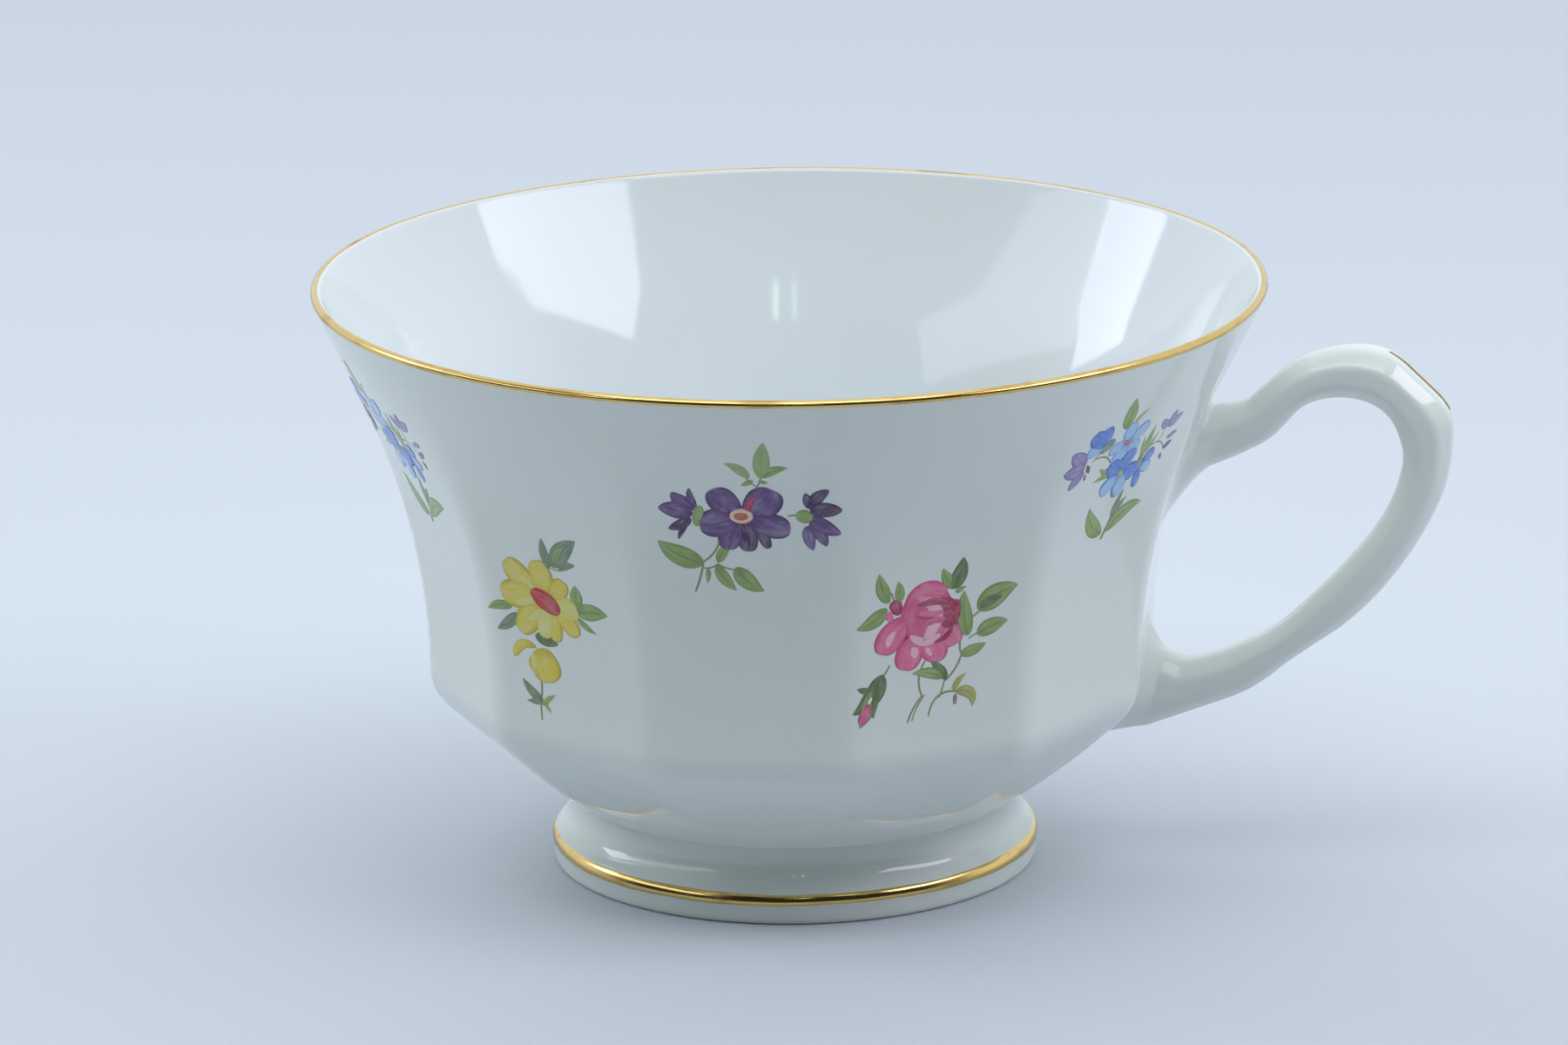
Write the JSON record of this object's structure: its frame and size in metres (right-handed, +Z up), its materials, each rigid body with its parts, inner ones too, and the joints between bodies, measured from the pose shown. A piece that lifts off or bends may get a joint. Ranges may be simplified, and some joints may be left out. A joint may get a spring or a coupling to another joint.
{
  "type": "teacup",
  "caption": "Flared porcelain teacup with flat facets, a turned foot ring, an angular loop handle, gilded edges and small enamel flower sprays.",
  "frame": {"origin": "on the bowl's axis, in the plane of the foot ring's resting face", "axes": "+Z up along the bowl's axis, +X towards the handle, +Y completes a right-handed frame"},
  "size_m": [0.1238, 0.1036, 0.0651],
  "materials": {
    "porcelain": "clear high-gloss glaze",
    "slip": "fired slip under the glaze",
    "gilding": "burnished gilding",
    "violet_enamel": "glossy overglaze enamel",
    "rose_enamel": "glossy overglaze enamel",
    "blue_enamel": "glossy overglaze enamel",
    "yellow_enamel": "glossy overglaze enamel"
  },
  "bodies": {
    "root": {"bowl": "porcelain", "foot": "porcelain", "handle": "porcelain", "foot_slip_joint": "slip", "upper_handle_slip_joint": "slip", "lower_handle_slip_joint": "slip", "rim_gold_band": "gilding", "foot_gold_band": "gilding", "handle_gold_stripe": "gilding", "violet_spray_front": "violet_enamel", "rose_spray_front_right": "rose_enamel", "blue_spray_right": "blue_enamel", "violet_spray_back_right": "violet_enamel", "rose_spray_back_right": "rose_enamel", "blue_spray_back": "blue_enamel", "yellow_spray_back_left": "yellow_enamel", "violet_spray_back_left": "violet_enamel", "rose_spray_left": "rose_enamel", "blue_spray_front_left": "blue_enamel", "yellow_spray_front_left": "yellow_enamel"}
  },
  "joints": []
}
